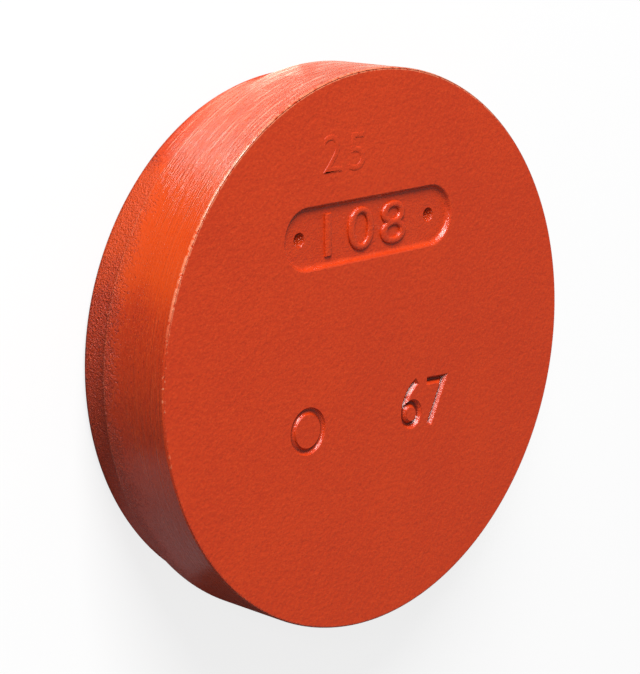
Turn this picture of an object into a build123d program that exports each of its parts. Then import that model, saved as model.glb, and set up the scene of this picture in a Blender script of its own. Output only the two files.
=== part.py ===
import os
from math import radians, tan

from build123d import *

# A cast end cap for grooved pipe of 108.0 mm outside diameter, all sizes in millimetres.
# It lies as it rests on a bench: the back rim is at z = 0, centred on the Z axis,
# and the flat marked face looks up, along +Z. The long pocket in the face runs along X.

# Sizes that the pipe standard gives
pipe_diameter = 108.0    # outside diameter of the pipe, and of the land that the gasket seals on
seat_length = 16.25      # face to the back edge of the land
groove_depth = 2.135     # how far the coupling's key drops below the land
groove_length = 9.15     # the boss behind the land, where the key sits, out to the back rim

# Thickness of the casting
rim_wall = 7.4           # iron round the recess, measured at the back rim
plate_thickness = 13.0   # iron between the marked face and the floor of the recess
recess_draft = 3.0       # slope of the recess wall in degrees, so that the sand core's pattern draws

# Rounded edges
face_edge_round = 0.6    # where the ground land meets the marked face
land_edge_bevel = 0.2    # the turned back edge of the land is almost sharp
step_bevel = 0.6         # inside corner where the boss meets the land
back_edge_round = 2.0    # outer back corner, as cast
mouth_bevel = 1.2        # broken edge round the mouth of the recess
floor_fillet = 5.0       # inside corner of the recess floor

# The sunk panel in the face that carries the raised marking
pocket_length = 45.0
pocket_width = 11.6
pocket_depth = 1.0
pocket_draft = 30.0      # slope of the panel's side walls in degrees
pocket_centre_x = -1.3
pocket_centre_y = 24.2

land_radius = pipe_diameter / 2
boss_radius = land_radius - groove_depth
overall_length = groove_length + seat_length
recess_radius = boss_radius - rim_wall
recess_depth = overall_length - plate_thickness
recess_floor_radius = recess_radius - recess_depth * tan(radians(recess_draft))

with BuildPart() as cap_body:
    # Half section of the casting, turned round the axis: solid plate, land, step, boss and rim
    with BuildSketch(Plane.XZ) as half_section:
        with BuildLine() as section_line:
            Polyline(
                (0, overall_length),
                (land_radius, overall_length),
                (land_radius, groove_length),
                (boss_radius, groove_length),
                (boss_radius, 0),
                (recess_radius, 0),
                (recess_floor_radius, recess_depth),
                (0, recess_depth),
                close=True,
            )
        make_face()
    revolve(axis=Axis.Z)

    # Edges, each found by the radius and height of its circle
    circles = cap_body.edges().filter_by(GeomType.CIRCLE)
    face_edge = circles.group_by(Axis.Z)[-1]
    step_edges = circles.filter_by_position(Axis.Z, groove_length, groove_length)
    land_back_edge = step_edges.sort_by(SortBy.RADIUS)[-1]
    step_corner = step_edges.sort_by(SortBy.RADIUS)[0]
    rim_edges = circles.group_by(Axis.Z)[0]
    back_edge = rim_edges.sort_by(SortBy.RADIUS)[-1]
    recess_mouth = rim_edges.sort_by(SortBy.RADIUS)[0]
    recess_corner = circles.filter_by_position(Axis.Z, recess_depth, recess_depth)

    fillet(recess_corner, floor_fillet)
    fillet(back_edge, back_edge_round)
    fillet(face_edge, face_edge_round)
    chamfer(recess_mouth, mouth_bevel)
    chamfer(step_corner, step_bevel)
    chamfer(land_back_edge, land_edge_bevel)

    # The sunk panel, with round ends and walls that slope like the pattern's
    with BuildSketch(Plane.XY.offset(overall_length)) as pocket_outline:
        with Locations((pocket_centre_x, pocket_centre_y)):
            SlotOverall(pocket_length, pocket_width)
    extrude(amount=-pocket_depth, taper=pocket_draft, mode=Mode.SUBTRACT)

cap_body.part.label = "cap_body"

os.makedirs("parts", exist_ok=True)
export_step(cap_body.part, "parts/cap_body.step")
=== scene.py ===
import math

import bmesh
import bpy
from mathutils import Matrix, Vector


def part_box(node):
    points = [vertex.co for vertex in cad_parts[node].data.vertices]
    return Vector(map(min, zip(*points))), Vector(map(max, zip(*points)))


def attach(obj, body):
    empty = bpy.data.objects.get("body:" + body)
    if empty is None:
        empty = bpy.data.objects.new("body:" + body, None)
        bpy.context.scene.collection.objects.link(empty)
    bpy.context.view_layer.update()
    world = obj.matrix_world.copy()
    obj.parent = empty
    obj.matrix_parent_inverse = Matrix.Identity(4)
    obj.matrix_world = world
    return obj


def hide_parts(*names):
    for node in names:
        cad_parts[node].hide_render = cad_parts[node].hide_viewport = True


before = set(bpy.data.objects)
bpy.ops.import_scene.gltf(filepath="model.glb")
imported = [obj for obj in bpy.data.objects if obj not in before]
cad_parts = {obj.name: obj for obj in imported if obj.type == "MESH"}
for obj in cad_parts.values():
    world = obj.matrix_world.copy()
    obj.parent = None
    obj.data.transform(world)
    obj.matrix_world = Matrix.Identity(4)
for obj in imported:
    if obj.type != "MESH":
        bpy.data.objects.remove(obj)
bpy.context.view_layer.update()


# The casting: one piece of cast iron from a sand mould, with a plate that closes the pipe, a thick
# rim behind it and a hollow in the middle of the back. The band beside the face is ground true for
# the gasket, and the step behind it takes the coupling.
MM = 0.001
# The face lies this much below the top of the solid's box, which leaves room for the faint number
FAINT_RELIEF = 0.12 * MM
FACE_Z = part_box("cap_body")[1].z - FAINT_RELIEF
LAND_RADIUS = 54.0 * MM
LAND_LENGTH = 16.25 * MM
STEP_DEPTH = 2.135 * MM
RIM_WALL = 7.4 * MM
PLATE = 13.0 * MM
RECESS_DRAFT = math.radians(3.0)
ROUND_STEPS = 240
EDGE_SLACK = 0.02 * MM
DOWNWARD = -0.9


def clear_selection():
    """Leaves object mode with nothing selected, as an operator acts on all that is."""
    if bpy.context.object and bpy.context.object.mode != "OBJECT":
        bpy.ops.object.mode_set(mode="OBJECT")
    bpy.ops.object.select_all(action="DESELECT")


def pick(piece):
    """Makes one piece the only selected and active one."""
    clear_selection()
    piece.select_set(True)
    bpy.context.view_layer.objects.active = piece


def edit_faces(piece, wanted):
    """Opens a piece in edit mode with the faces selected for which wanted(face) holds."""
    pick(piece)
    bpy.ops.object.mode_set(mode="EDIT")
    bpy.ops.mesh.select_mode(type="FACE")
    bpy.ops.mesh.select_all(action="DESELECT")
    mesh = bmesh.from_edit_mesh(piece.data)
    for face in mesh.faces:
        face.select_set(wanted(face))
    bmesh.update_edit_mesh(piece.data)


def edit_ring(piece, radius, height):
    """Opens a piece in edit mode with the ring of edges selected at a radius and a height."""
    pick(piece)
    bpy.ops.object.mode_set(mode="EDIT")
    bpy.ops.mesh.select_mode(type="EDGE")
    bpy.ops.mesh.select_all(action="DESELECT")
    mesh = bmesh.from_edit_mesh(piece.data)
    for edge in mesh.edges:
        level = all(abs(v.co.z - height) < EDGE_SLACK for v in edge.verts)
        on_ring = all(abs(v.co.xy.length - radius) < EDGE_SLACK for v in edge.verts)
        edge.select_set(level and on_ring)
    bmesh.update_edit_mesh(piece.data)


def leave_edit():
    bpy.ops.object.mode_set(mode="OBJECT")


def settle(piece):
    """Moves a piece's place, turn and scale into its mesh, so that it ends at the origin."""
    pick(piece)
    bpy.ops.object.transform_apply(location=True, rotation=True, scale=True)


def apply_modifier(piece, kind, name, **settings):
    """Adds one modifier to a piece and applies it."""
    pick(piece)
    modifier = piece.modifiers.new(name, kind)
    for key, value in settings.items():
        setattr(modifier, key, value)
    bpy.ops.object.modifier_apply(modifier=name)


clear_selection()
bpy.ops.mesh.primitive_cylinder_add(
    vertices=ROUND_STEPS, radius=LAND_RADIUS, depth=LAND_LENGTH, end_fill_type="NGON",
    location=(0, 0, FACE_Z - LAND_LENGTH / 2),
)
casting = bpy.context.object
casting.name = "cap_casting"
settle(casting)

STEP_Z = FACE_Z - LAND_LENGTH
BOSS_RADIUS = LAND_RADIUS - STEP_DEPTH
RECESS_RADIUS = BOSS_RADIUS - RIM_WALL
RECESS_Z = FACE_Z - PLATE
RECESS_FLOOR_RADIUS = RECESS_RADIUS - RECESS_Z * math.tan(RECESS_DRAFT)

edit_faces(casting, lambda face: face.normal.z < DOWNWARD)
bpy.ops.mesh.inset(thickness=STEP_DEPTH, use_even_offset=True)
bpy.ops.mesh.extrude_region_move(TRANSFORM_OT_translate={"value": (0, 0, -STEP_Z)})
bpy.ops.mesh.inset(thickness=RIM_WALL, use_even_offset=True)
bpy.ops.mesh.extrude_region_move(TRANSFORM_OT_translate={"value": (0, 0, RECESS_Z)})
shrink = RECESS_FLOOR_RADIUS / RECESS_RADIUS
bpy.ops.transform.resize(value=(shrink, shrink, 1), center_override=(0, 0, RECESS_Z))
leave_edit()

# Edges of the casting: sand leaves round corners, and the grinder leaves sharp ones.
# Each row gives an edge's radius and height, the width of its rounding and the steps in it.
ROUNDED_EDGES = (
    (RECESS_FLOOR_RADIUS, RECESS_Z, 5.0 * MM, 8),
    (RECESS_RADIUS, 0.0, 1.2 * MM, 4),
    (BOSS_RADIUS, 0.0, 2.0 * MM, 6),
    (BOSS_RADIUS, STEP_Z, 0.6 * MM, 3),
    (LAND_RADIUS, STEP_Z, 0.2 * MM, 2),
    (LAND_RADIUS, FACE_Z, 0.5 * MM, 3),
)
for radius, height, width, steps in ROUNDED_EDGES:
    edit_ring(casting, radius, height)
    bpy.ops.mesh.bevel(offset=width, segments=steps, affect="EDGES", clamp_overlap=False)
    leave_edit()


# The sunk panel: a pad on the pattern leaves this shallow pocket in the casting, with sloping walls
# and a soft lip. The raised marking stands on its floor and stays a little below the face.
POCKET_X = -1.3 * MM
POCKET_Y = 24.2 * MM
POCKET_HALF_RUN = 16.7 * MM
POCKET_END_RADIUS = 5.8 * MM
POCKET_DEPTH = 1.0 * MM
LONG_END_STEPS = 72
# Height of each ring of the pocket's wall against the face, and how far it stands out
POCKET_WALL = (
    (0.20 * MM, 0.80 * MM),
    (0.00 * MM, 0.34 * MM),
    (-0.10 * MM, 0.15 * MM),
    (-0.26 * MM, 0.00 * MM),
    (-0.70 * MM, -0.24 * MM),
    (-0.90 * MM, -0.44 * MM),
    (-0.98 * MM, -0.70 * MM),
    (-POCKET_DEPTH, -1.00 * MM),
)


def long_cutter(name, x, y, half_run, end_radius, top, rings):
    """A solid with a long round-ended outline, whose rings narrow downwards, to cut a pocket."""
    clear_selection()
    bpy.ops.mesh.primitive_circle_add(
        vertices=LONG_END_STEPS, radius=end_radius + rings[0][1], fill_type="NGON",
        location=(0, 0, top + rings[0][0]), rotation=(0, 0, math.pi / LONG_END_STEPS),
    )
    cutter = bpy.context.object
    cutter.name = name
    settle(cutter)
    bpy.ops.object.mode_set(mode="EDIT")
    bpy.ops.mesh.select_mode(type="VERT")
    for side in (-1, 1):
        mesh = bmesh.from_edit_mesh(cutter.data)
        bpy.ops.mesh.select_all(action="DESELECT")
        for vert in mesh.verts:
            vert.select_set(vert.co.x * side > 0)
        bmesh.update_edit_mesh(cutter.data)
        bpy.ops.transform.translate(value=(side * half_run, 0, 0))
    bpy.ops.mesh.select_all(action="SELECT")
    for above, below in zip(rings, rings[1:]):
        bpy.ops.mesh.extrude_region_move(
            TRANSFORM_OT_translate={"value": (0, 0, below[0] - above[0])}
        )
        ring_z = top + below[0]
        shrink = (end_radius + below[1]) / (end_radius + above[1])
        for side in (-1, 1):
            mesh = bmesh.from_edit_mesh(cutter.data)
            bpy.ops.mesh.select_all(action="DESELECT")
            for vert in mesh.verts:
                vert.select_set(abs(vert.co.z - ring_z) < EDGE_SLACK and vert.co.x * side > 0)
            bmesh.update_edit_mesh(cutter.data)
            bpy.ops.transform.resize(
                value=(shrink, shrink, 1), center_override=(side * half_run, 0, ring_z)
            )
        mesh = bmesh.from_edit_mesh(cutter.data)
        for vert in mesh.verts:
            vert.select_set(abs(vert.co.z - ring_z) < EDGE_SLACK)
        mesh.select_flush_mode()
        bmesh.update_edit_mesh(cutter.data)
    bpy.ops.mesh.select_all(action="SELECT")
    bpy.ops.mesh.normals_make_consistent(inside=False)
    leave_edit()
    cutter.location = (x, y, 0)
    settle(cutter)
    return cutter


def cut_or_join(body, tool, operation):
    """Cuts a tool solid out of the casting, or joins it on, and takes the tool away."""
    apply_modifier(body, "BOOLEAN", "mark", object=tool, operation=operation, solver="EXACT")
    bpy.data.objects.remove(tool, do_unlink=True)


panel_cutter = long_cutter(
    "panel_cutter", x=POCKET_X, y=POCKET_Y, half_run=POCKET_HALF_RUN,
    end_radius=POCKET_END_RADIUS, top=FACE_Z, rings=POCKET_WALL,
)
cut_or_join(casting, panel_cutter, "DIFFERENCE")


# The marks: a plain size number stands up from the panel's floor between two round dimples.
# A plain number and a ring are struck into the face, and a faint number stands up beyond the panel.
PANEL_FLOOR_Z = FACE_Z - POCKET_DEPTH
STRAIGHT_BAND = 0.06 * MM
# Height of a figure against the size of its type
FIGURE_SHARE = 0.72
# A figure's outline is drawn in by this share of its slope, so that it doesn't grow too fat
DRAWN_IN = 0.75
CURVE_STEPS = 6
WELD = 0.001 * MM
SHARP_ANGLE = math.radians(32)


def weld(piece):
    """Joins points of a piece that fall together and turns its faces outward."""
    pick(piece)
    bpy.ops.object.mode_set(mode="EDIT")
    bpy.ops.mesh.select_all(action="SELECT")
    bpy.ops.mesh.remove_doubles(threshold=WELD)
    bpy.ops.mesh.normals_make_consistent(inside=False)
    leave_edit()


def numeral(name, text, x, y, width, height, level, slope, turn=0.0, spacing=1.0, steps=2,
            squash=1.0):
    """A solid number that is widest at one level and narrows to both sides of it."""
    clear_selection()
    bpy.ops.object.text_add(location=(0, 0, 0))
    mark = bpy.context.object
    mark.name = name
    mark.data.body = text
    mark.data.align_x = "CENTER"
    mark.data.align_y = "CENTER"
    mark.data.size = height / FIGURE_SHARE
    mark.data.space_character = spacing
    mark.data.extrude = STRAIGHT_BAND
    mark.data.bevel_depth = slope
    mark.data.offset = -slope * DRAWN_IN
    mark.data.bevel_resolution = steps
    mark.data.resolution_u = CURVE_STEPS
    pick(mark)
    bpy.ops.object.convert(target="MESH")
    mark = bpy.context.object
    weld(mark)
    spread = [v.co for v in mark.data.vertices]
    middle_x = (min(c.x for c in spread) + max(c.x for c in spread)) / 2
    middle_y = (min(c.y for c in spread) + max(c.y for c in spread)) / 2
    wide = width / mark.dimensions.x
    tall = height / mark.dimensions.y
    mark.data.transform(Matrix.Translation((-middle_x, -middle_y, 0)))
    mark.scale = (wide, tall, squash)
    mark.rotation_euler.z = turn
    mark.location = (x, y, level)
    settle(mark)
    return mark


size_number = numeral(
    "size_number", "108", x=-1.9 * MM, y=POCKET_Y, width=22.0 * MM, height=8.4 * MM,
    level=PANEL_FLOOR_Z, slope=0.50 * MM, spacing=1.15,
)
cut_or_join(casting, size_number, "UNION")
struck_number = numeral(
    "struck_number", "67", x=13.6 * MM, y=-12.6 * MM, width=13.4 * MM, height=10.2 * MM,
    level=FACE_Z, slope=0.74 * MM, turn=math.radians(-4), spacing=1.05, steps=0, squash=1.17,
)
cut_or_join(casting, struck_number, "DIFFERENCE")
faint_number = numeral(
    "faint_number", "25", x=-8.3 * MM, y=39.2 * MM, width=11.0 * MM, height=7.2 * MM,
    level=FACE_Z - 0.04 * MM, slope=0.32 * MM, turn=math.radians(-2), spacing=1.2, squash=0.4,
)
cut_or_join(casting, faint_number, "UNION")

DIMPLE_RADIUS = 1.5 * MM
DIMPLE_SINK = 0.45 * MM
DIMPLE_PLACES = (-19.4 * MM, 15.6 * MM)
for dimple_x in DIMPLE_PLACES:
    clear_selection()
    bpy.ops.mesh.primitive_uv_sphere_add(
        segments=40, ring_count=24, radius=DIMPLE_RADIUS,
        location=(dimple_x, POCKET_Y, PANEL_FLOOR_Z + DIMPLE_SINK),
    )
    dimple = bpy.context.object
    settle(dimple)
    cut_or_join(casting, dimple, "DIFFERENCE")

RING_PLACE = (-18.6 * MM, -12.0 * MM, FACE_Z)
clear_selection()
bpy.ops.mesh.primitive_torus_add(
    location=RING_PLACE, major_radius=3.9 * MM, minor_radius=0.7 * MM,
    major_segments=56, minor_segments=12,
)
ring_cutter = bpy.context.object
settle(ring_cutter)
cut_or_join(casting, ring_cutter, "DIFFERENCE")

weld(casting)
bpy.ops.object.shade_smooth_by_angle(angle=SHARP_ANGLE)
apply_modifier(casting, "WEIGHTED_NORMAL", "flat_face_normals", keep_sharp=True, weight=80)


# The paint: an orange-red enamel sprayed over bare iron, with no primer showing. It takes the
# grain of the sand where the iron is as cast, and the fine lines of the wheel where it is ground.
class Socket:
    """One output in a material, on which sums are written as on a number."""

    def __init__(self, paint, link):
        self.paint = paint
        self.link = link

    def math(self, operation, *others):
        return self.paint.node("ShaderNodeMath", {"operation": operation}, [self, *others])

    def __add__(self, other):
        return self.math("ADD", other)

    __radd__ = __add__

    def __mul__(self, other):
        return self.math("MULTIPLY", other)

    __rmul__ = __mul__

    def __sub__(self, other):
        return self.math("SUBTRACT", other)

    def __rsub__(self, other):
        return self.paint.node("ShaderNodeMath", {"operation": "SUBTRACT"}, [other, self])

    def __truediv__(self, other):
        return self.math("DIVIDE", other)

    def larger(self, other):
        return self.math("MAXIMUM", other)

    def smaller(self, other):
        return self.math("MINIMUM", other)


class Finish:
    """A material whose nodes are added one at a time by kind, settings and inputs."""

    def __init__(self, name):
        self.material = bpy.data.materials.new(name)
        self.material.use_nodes = True
        self.tree = self.material.node_tree
        self.tree.nodes.clear()

    def node(self, kind, settings, inputs, output=0):
        """Adds a node. Its inputs are a list in their order, or go by name or place."""
        made = self.tree.nodes.new(kind)
        for key, value in settings.items():
            setattr(made, key, value)
        pairs = inputs.items() if isinstance(inputs, dict) else enumerate(inputs)
        for key, value in pairs:
            if isinstance(value, Socket):
                self.tree.links.new(value.link, made.inputs[key])
            else:
                made.inputs[key].default_value = value
        return Socket(self, made.outputs[output])

    def close(self, surface):
        """Leads a shader to the material's output."""
        out = self.tree.nodes.new("ShaderNodeOutputMaterial")
        self.tree.links.new(surface.link, out.inputs["Surface"])

    def grain(self, place, scale, detail=2.0, roughness=0.5):
        inputs = {"Vector": place, "Scale": scale, "Detail": detail, "Roughness": roughness}
        return self.node("ShaderNodeTexNoise", {}, inputs)

    def drawn_out(self, place, stretch, detail, roughness=0.5):
        """A grain whose scale differs along the three axes."""
        stretched = self.node("ShaderNodeVectorMath", {"operation": "MULTIPLY"}, [place, stretch])
        return self.grain(stretched, 1.0, detail, roughness)

    def step(self, value, span):
        """Runs smoothly from 0 to 1 while a value goes from the span's start to its end."""
        start, end = span
        smooth = {"interpolation_type": "SMOOTHSTEP"}
        return self.node("ShaderNodeMapRange", smooth, [value, start, end, 0.0, 1.0])

    def blend(self, amount, first, second):
        colour = {"data_type": "RGBA", "clamp_factor": True}
        return self.node("ShaderNodeMix", colour, {0: amount, 6: first, 7: second}, output=2)

    def bump(self, height, distance, below=None):
        """Raises the surface by a height times a distance in metres, over any bump below."""
        inputs = {"Height": height, "Distance": distance, "Strength": 1.0}
        if below is not None:
            inputs["Normal"] = below
        return self.node("ShaderNodeBump", {}, inputs)


PAINT_COLOUR = (0.560, 0.041, 0.004, 1)
PAINT_DEEP = (0.510, 0.034, 0.004, 1)
# A brighter colour painted on the wall's most lit side, as a painted pool of light
PAINT_LIT_PATCH = (0.665, 0.060, 0.004, 1)
PAINT_WORN = (0.680, 0.085, 0.016, 1)
# Painted shade for the hollows of the grain
PAINT_HOLLOW_SHADE = (0.270, 0.012, 0.003, 1)
# A paler colour for the ground lines, partly wear and partly a painted highlight
PAINT_LINE_WEAR_AND_SHEEN = (0.720, 0.120, 0.030, 1)
# A pale colour for the worn edge, which also stands for a painted highlight and glint
PAINT_CHIP_AND_HIGHLIGHT = (0.760, 0.220, 0.110, 1)
# Near-black painted shade for the bottoms of the struck marks and dimples
PAINT_CAVITY_SHADE = (0.120, 0.008, 0.003, 1)

paint = Finish("orange_red_enamel")
place = paint.node("ShaderNodeTexCoord", {}, [], output="Object")
in_mm = paint.node("ShaderNodeVectorMath", {"operation": "SCALE"}, {"Vector": place, "Scale": 1 / MM})
x_mm = paint.node("ShaderNodeSeparateXYZ", {}, [in_mm], output="X")
y_mm = paint.node("ShaderNodeSeparateXYZ", {}, [in_mm], output="Y")
height_mm = paint.node("ShaderNodeSeparateXYZ", {}, [in_mm], output="Z")
radius_mm = (x_mm * x_mm + y_mm * y_mm).math("SQRT")

# Grains from the broadest to the finest, by their scale per millimetre
shade = paint.grain(in_mm, 0.06)
wander = paint.grain(in_mm, 0.11, detail=3.0)
lumps = paint.grain(in_mm, 0.55)
peel = paint.grain(in_mm, 1.3, detail=3.0, roughness=0.6)
grit = paint.grain(in_mm, 2.6, detail=3.0, roughness=0.7)

# Where the land, the boss and the face are: each span starts and ends in millimetres
FACE_MM = FACE_Z / MM
LAND_MM = LAND_RADIUS / MM
LAND_SKIN = (LAND_MM - 0.35, LAND_MM - 0.10)
BOSS_SKIN = (LAND_MM - 2.7, LAND_MM - 2.3)
BOSS_TOP = (9.9, 9.4)
FACE_SKIN = (FACE_MM - 1.3, FACE_MM - 1.1)
on_land = paint.step(radius_mm, LAND_SKIN)
on_boss = paint.step(height_mm, BOSS_TOP) * paint.step(radius_mm, BOSS_SKIN)
on_wall = on_land.larger(on_boss)
on_face = paint.step(height_mm, FACE_SKIN) * (1 - on_land)

# The ground band has a ragged back border, and toward the key lamp the wheel went right over the step
LAMP_SIDE = math.radians(106)
DEEP_CUT_SPAN = (0.78, 0.93)
DEEP_CUT_MM = 16.0
WANDER_MM = 9.0
RAGGED_MM = 17.0
GROUND_BORDER = (11.6, 17.2)
toward_lamp = (x_mm * math.cos(LAMP_SIDE) + y_mm * math.sin(LAMP_SIDE)) * (1 / LAND_MM)
deep_cut = paint.step(toward_lamp, DEEP_CUT_SPAN) * DEEP_CUT_MM
ground_height = height_mm + (wander - 0.5) * WANDER_MM + (grit - 0.5) * RAGGED_MM + deep_cut
ground = on_wall * paint.step(ground_height, GROUND_BORDER)

# A painted pool of light: the wall's most lit side is painted brighter, and its sand grain is softer
LIT_PATCH_SIDE = math.radians(146)
LIT_PATCH_WANDER = 0.08
LIT_PATCH_SPAN = (0.945, 0.992)
lit_patch_side = (x_mm * math.cos(LIT_PATCH_SIDE) + y_mm * math.sin(LIT_PATCH_SIDE)) / radius_mm
painted_lit_patch = paint.step(lit_patch_side + (wander - 0.5) * LIT_PATCH_WANDER, LIT_PATCH_SPAN) * on_wall

# Grain of the sand: coarse grit on wall and back, broad soft lumps with a few pits on the face
SAND_DEPTH = 0.95 * MM
SAND_SOFTER_IN_LIT_PATCH = 0.35
FACE_DEPTH = 0.17 * MM
PIT_SPAN = (0.40, 0.22)
PIT_SHARE = 0.16
SUNK_TOP = (FACE_MM - 0.06, FACE_MM - 0.20)
SUNK_GRIT = 0.55
cast_relief = peel * 0.4 + grit * 0.6
sand_height = cast_relief * (1 - ground) * (1 - on_face) * (1 - painted_lit_patch * SAND_SOFTER_IN_LIT_PATCH)
sand_part = paint.bump(sand_height, SAND_DEPTH)
face_relief = lumps * 0.4 + peel * 0.6
pits = paint.step(paint.grain(in_mm, 0.42, detail=1.0), PIT_SPAN)
below_face = paint.step(height_mm, SUNK_TOP)
face_height = face_relief - pits * PIT_SHARE + below_face * grit * SUNK_GRIT
face_part = paint.bump(face_height * on_face, FACE_DEPTH, below=sand_part)

# Lines of the grinding wheel run round the band: two grains drawn out along the wall
WHEEL_DEPTH = 0.56 * MM
BITE_SPAN = (0.70, 0.88)
LIGHT_BITE = 0.35
EXTRA_BITE = 0.75
lines = paint.drawn_out(in_mm, (0.05, 0.05, 2.3), detail=4.0, roughness=0.7)
hairlines = paint.drawn_out(in_mm, (0.12, 0.12, 4.2), detail=2.0)
streaks = lines * 0.5 + hairlines * 0.5
# The lines bite deeper toward the key lamp, and their painted highlight is stronger there
wheel_bite_and_sheen = LIGHT_BITE + paint.step(toward_lamp, BITE_SPAN) * EXTRA_BITE
ground_part = paint.bump(streaks * ground * wheel_bite_and_sheen, WHEEL_DEPTH, below=face_part)

# The coat varies a little and is worn on its tops; painted shade darkens the grain's hollows
TONE_SPAN = (0.38, 0.62)
HOLLOW_SPAN = (0.41, 0.33)
TOP_SPAN = (0.56, 0.66)
LINE_SPAN = (0.535, 0.590)
HOLLOW_SHARE = 0.70
LESS_HOLLOW_ON_FACE = 0.40
LESS_HOLLOW_IN_LIT_PATCH = 0.45
TOP_SHARE = 0.8
LESS_TOP_ON_FACE = 0.5
LINE_SHARE = 0.45
tone = paint.blend(paint.step(shade * 0.3 + peel * 0.7, TONE_SPAN), PAINT_DEEP, PAINT_COLOUR)
# The painted pool of light on the wall's most lit side
tone = paint.blend(painted_lit_patch, tone, PAINT_LIT_PATCH)
painted_hollow_shade = paint.step(grit, HOLLOW_SPAN) * (HOLLOW_SHARE - on_face * LESS_HOLLOW_ON_FACE)
tone = paint.blend(painted_hollow_shade * (1 - painted_lit_patch * LESS_HOLLOW_IN_LIT_PATCH), tone, PAINT_HOLLOW_SHADE)
tops = paint.step(grit, TOP_SPAN) * (TOP_SHARE - on_face * LESS_TOP_ON_FACE)
tone = paint.blend(tops, tone, PAINT_WORN)
# Ground lines are painted lighter, partly wear and partly a painted highlight, stronger toward the
# key lamp
line_wear_and_sheen = paint.step(streaks, LINE_SPAN) * ground * wheel_bite_and_sheen.smaller(1.0)
tone = paint.blend(line_wear_and_sheen * LINE_SHARE, tone, PAINT_LINE_WEAR_AND_SHEEN)

# Along the face's edge the coat is rubbed through and chipped, partly as a painted highlight
EDGE_ROUND = (LAND_MM - 0.6, LAND_MM - 0.4)
EDGE_TOP = (FACE_MM - 0.6, FACE_MM - 0.4)
RUBBED_SIDE = (0.42, 0.62)
RUBBED_GAPS = (0.36, 0.50)
RUBBED_SHARE = 0.75
CHIP_SPAN = (0.60, 0.64)
CHIPPED_SIDE = (-0.10, 0.40)
FAR_CHIPS = 0.15
SIDE_CHIPS = 0.85
BACK_ROUND = (LAND_MM - 0.5, LAND_MM - 0.2)
BACK_SPAN = (9.50, 9.30)
BACK_GAPS = (0.46, 0.56)
BACK_SHARE = 0.4
# The pale edge is laid mostly on the side toward the key lamp, where it stands for a highlight
edge_strip = paint.step(radius_mm, EDGE_ROUND) * paint.step(height_mm, EDGE_TOP)
rubbed_and_highlight = paint.step(toward_lamp, RUBBED_SIDE) * paint.step(peel, RUBBED_GAPS) * RUBBED_SHARE
chips_and_highlight = paint.step(peel, CHIP_SPAN) * (FAR_CHIPS + paint.step(toward_lamp, CHIPPED_SIDE) * SIDE_CHIPS)
tone = paint.blend(edge_strip * rubbed_and_highlight.larger(chips_and_highlight), tone, PAINT_CHIP_AND_HIGHLIGHT)
# A painted glint, as pale broken dots, runs a little along the land's back edge
back_edge = paint.step(radius_mm, BACK_ROUND) * paint.step(height_mm, BACK_SPAN)
tone = paint.blend(back_edge * paint.step(grit, BACK_GAPS) * BACK_SHARE, tone, PAINT_CHIP_AND_HIGHLIGHT)

# Painted shade darkens the bottom of each struck mark and dimple
STRUCK_SPAN = (FACE_MM - 0.52, FACE_MM - 0.76)
STRUCK_HALF = (0.0, -2.0)
DIMPLE_SPAN = (FACE_MM - 1.05, FACE_MM - 1.25)
CAVITY_SHADE_SHARE = 0.8
struck = paint.step(height_mm, STRUCK_SPAN) * paint.step(y_mm, STRUCK_HALF)
painted_cavity_shade = struck.larger(paint.step(height_mm, DIMPLE_SPAN)) * on_face
tone = paint.blend(painted_cavity_shade * CAVITY_SHADE_SHARE, tone, PAINT_CAVITY_SHADE)

# The enamel is glossiest where it ran thin: over the face's edge, in the panel and the marks
SUNK_BOTTOM = (FACE_MM - 2.2, FACE_MM - 1.9)
ENAMEL_ROUGHNESS = 0.33
PEEL_ROUGHER = 0.14
SAND_ROUGHER = 0.08
GROUND_SMOOTHER = 0.10
LINE_SMOOTHER = 0.14
EDGE_SMOOTHER = 0.3
SUNK_SMOOTHER = 0.55
sunk = below_face * (1 - on_land) * paint.step(height_mm, SUNK_BOTTOM)
wall_roughness = ENAMEL_ROUGHNESS + peel * PEEL_ROUGHER + (1 - ground) * SAND_ROUGHER
wall_roughness = wall_roughness - ground * GROUND_SMOOTHER - line_wear_and_sheen * LINE_SMOOTHER
roughness = wall_roughness * (1 - edge_strip * EDGE_SMOOTHER) * (1 - sunk * SUNK_SMOOTHER)

# A second, sharper gloss lies on the burnished lines, on the face's edge and in the sunk marks
BURNISHED_SIDE = (0.40, 0.80)
FAR_LINE_GLOSS = 0.12
SIDE_LINE_GLOSS = 0.76
EDGE_GLOSS = 0.35
SUNK_GLOSS = 0.25
burnished = line_wear_and_sheen * (FAR_LINE_GLOSS + paint.step(toward_lamp, BURNISHED_SIDE) * SIDE_LINE_GLOSS)
burnished = burnished.larger(edge_strip * EDGE_GLOSS).larger(sunk * on_face * SUNK_GLOSS)

enamel = paint.node("ShaderNodeBsdfPrincipled", {}, {
    "Base Color": tone,
    "Roughness": roughness,
    "Normal": ground_part,
    "Coat Weight": burnished,
    "IOR": 1.5,
    "Coat Roughness": 0.14,
})
paint.close(enamel)

casting.data.materials.clear()
casting.data.materials.append(paint.material)
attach(casting, "root")
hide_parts("cap_body")


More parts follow.
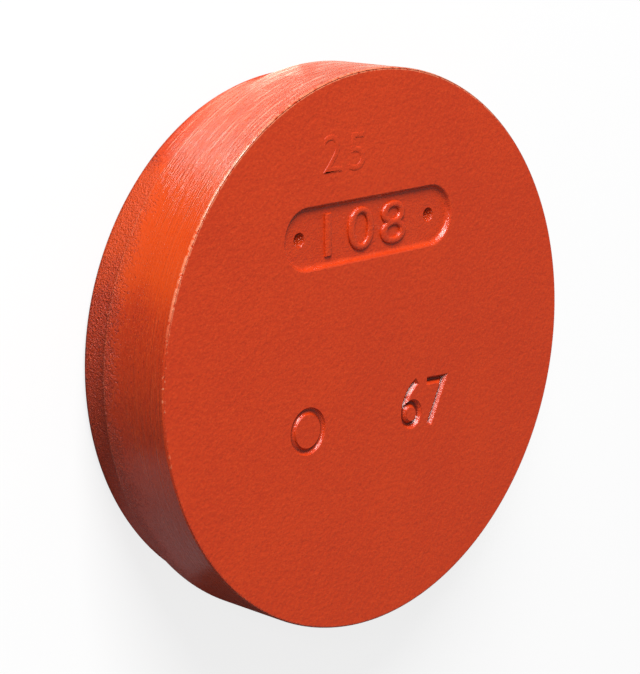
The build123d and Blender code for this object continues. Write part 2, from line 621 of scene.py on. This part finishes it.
# The bench: a pale floor that the cap lies on. The camera sees it as white paper with the cap's
# soft shadow, and the cap's glossy wall mirrors it much darker.
FLOOR_SIZE = 4.0
PAPER_SEEN = (0.90, 0.90, 0.90, 1)
PAPER_MIRRORED = (0.13, 0.13, 0.13, 1)
GLOW_SHARE = 0.8
clear_selection()
bpy.ops.mesh.primitive_plane_add(size=FLOOR_SIZE, location=(0, 0, 0))
floor = bpy.context.object
floor.name = "floor"
paper = Finish("white_paper")
seen = paper.node("ShaderNodeLightPath", {}, [], output="Is Camera Ray")
paper_colour = paper.blend(seen, PAPER_MIRRORED, PAPER_SEEN)
matt = paper.node("ShaderNodeBsdfDiffuse", {}, {"Color": paper_colour})
glow = paper.node("ShaderNodeEmission", {}, {"Color": (1, 1, 1, 1), "Strength": 1.0})
paper.close(paper.node("ShaderNodeMixShader", {}, [seen * GLOW_SHARE, matt, glow]))
floor.data.materials.append(paper.material)


# The light: one large soft lamp low over the ground side, one small lamp that makes the glints in
# the struck marks, three small flat lamps on the bench that the wall mirrors, and a dim sky.
WHITE = (1.0, 1.0, 1.0)
WARM_WHITE = (1.0, 0.94, 0.76)
COOL_WHITE = (1.0, 0.93, 1.0)
SKY_LEVEL = 0.22


def area_lamp(name, width, length, power, colour):
    data = bpy.data.lights.new(name, "AREA")
    data.shape = "RECTANGLE"
    data.size = width
    data.size_y = length
    data.energy = power
    data.color = colour
    lamp = bpy.data.objects.new(name, data)
    bpy.context.scene.collection.objects.link(lamp)
    return lamp


def soft_lamp(name, azimuth, elevation, distance, size, power):
    """A square lamp that shines at the cap from an azimuth and an elevation in degrees."""
    turn = math.radians(azimuth)
    lift = math.radians(elevation)
    reach = math.cos(lift)
    towards = Vector((reach * math.cos(turn), reach * math.sin(turn), math.sin(lift)))
    lamp = area_lamp(name, size, size, power, WHITE)
    lamp.location = towards * distance + Vector((0, 0, FACE_Z / 2))
    lamp.rotation_euler = towards.to_track_quat("Z", "Y").to_euler()


def floor_lamp(name, azimuth, length, power, colour, distance=68 * MM, width=32 * MM):
    """A flat lamp on the bench beside the cap, which only the glossy wall mirrors."""
    turn = math.radians(azimuth)
    lamp = area_lamp(name, width, length, power, colour)
    lamp.location = (distance * math.cos(turn), distance * math.sin(turn), 1.0 * MM)
    lamp.rotation_euler = (math.pi, 0, turn)
    lamp.visible_camera = False


soft_lamp("key_lamp", azimuth=108, elevation=29, distance=1.6, size=0.80, power=44.6)
soft_lamp("glint_lamp", azimuth=150, elevation=37, distance=1.6, size=0.14, power=2.3)
floor_lamp("edge_lamp_far", azimuth=80, length=44 * MM, power=0.0042, colour=WARM_WHITE)
floor_lamp("edge_lamp_near", azimuth=108, length=42 * MM, power=0.0076, colour=WARM_WHITE)
floor_lamp("edge_lamp_low", azimuth=217, length=40 * MM, power=0.0011, colour=COOL_WHITE)

world = bpy.data.worlds.new("studio")
bpy.context.scene.world = world
world.use_nodes = True
world.node_tree.nodes["Background"].inputs["Color"].default_value = (1, 1, 1, 1)
world.node_tree.nodes["Background"].inputs["Strength"].default_value = SKY_LEVEL


# The camera: it looks down on the flat cap from the left of its marking and is rolled, so that
# the cap stands in the picture as a catalogue shows it.
AIM = Vector((-15.34, 5.55, 25.4)) * MM
CAMERA_AZIMUTH = math.radians(161.34)
CAMERA_ELEVATION = math.radians(43.40)
CAMERA_ROLL = math.radians(102.46)
CAMERA_DISTANCE = 413.25 * MM
FOCAL_LENGTH = 119.15
SENSOR_WIDTH = 36.0
NEAR_CLIP = 10 * MM

level = Vector((math.cos(CAMERA_AZIMUTH), math.sin(CAMERA_AZIMUTH), 0))
backwards = level * math.cos(CAMERA_ELEVATION) + Vector((0, 0, math.sin(CAMERA_ELEVATION)))
upright_up = (Vector((0, 0, 1)) - backwards * backwards.z).normalized()
upright_right = upright_up.cross(backwards)
picture_up = upright_up * math.cos(CAMERA_ROLL) - upright_right * math.sin(CAMERA_ROLL)
picture_right = picture_up.cross(backwards)
camera_data = bpy.data.cameras.new("camera")
camera_data.lens = FOCAL_LENGTH
camera_data.sensor_width = SENSOR_WIDTH
camera_data.clip_start = NEAR_CLIP
camera = bpy.data.objects.new("camera", camera_data)
bpy.context.scene.collection.objects.link(camera)
camera_axes = Matrix((picture_right, picture_up, backwards)).transposed()
camera.matrix_world = Matrix.Translation(AIM + backwards * CAMERA_DISTANCE) @ camera_axes.to_4x4()
bpy.context.scene.camera = camera
bpy.context.scene.view_settings.view_transform = "Standard"
